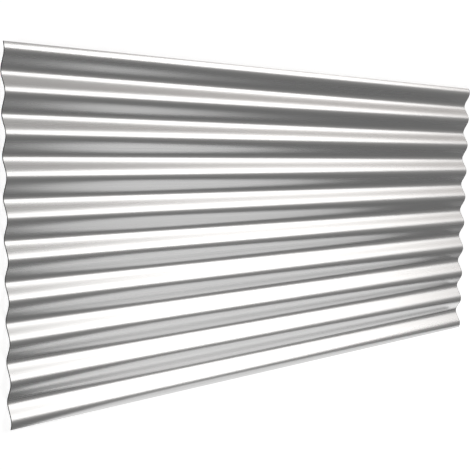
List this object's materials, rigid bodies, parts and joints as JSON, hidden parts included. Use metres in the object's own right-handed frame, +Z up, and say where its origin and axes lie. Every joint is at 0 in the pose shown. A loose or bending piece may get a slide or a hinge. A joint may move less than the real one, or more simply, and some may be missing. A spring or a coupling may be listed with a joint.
{
  "type": "corrugated metal sheet",
  "caption": "Flat-lying corrugated sheet of bright zinc-coated steel with a sine-wave section, for roofing, cladding or fencing, lapped side by side",
  "frame": {"origin": "On the floor, under the middle of the sheet, which lies flat with its outer crests up", "axes": "+X along the corrugations, +Y across them, +Z up, away from the floor"},
  "size_m": [1.42, 0.7094, 0.017],
  "materials": {
    "zinc_coated_steel": "satin"
  },
  "bodies": {
    "root": {"corrugated_sheet": "zinc_coated_steel"}
  },
  "joints": []
}
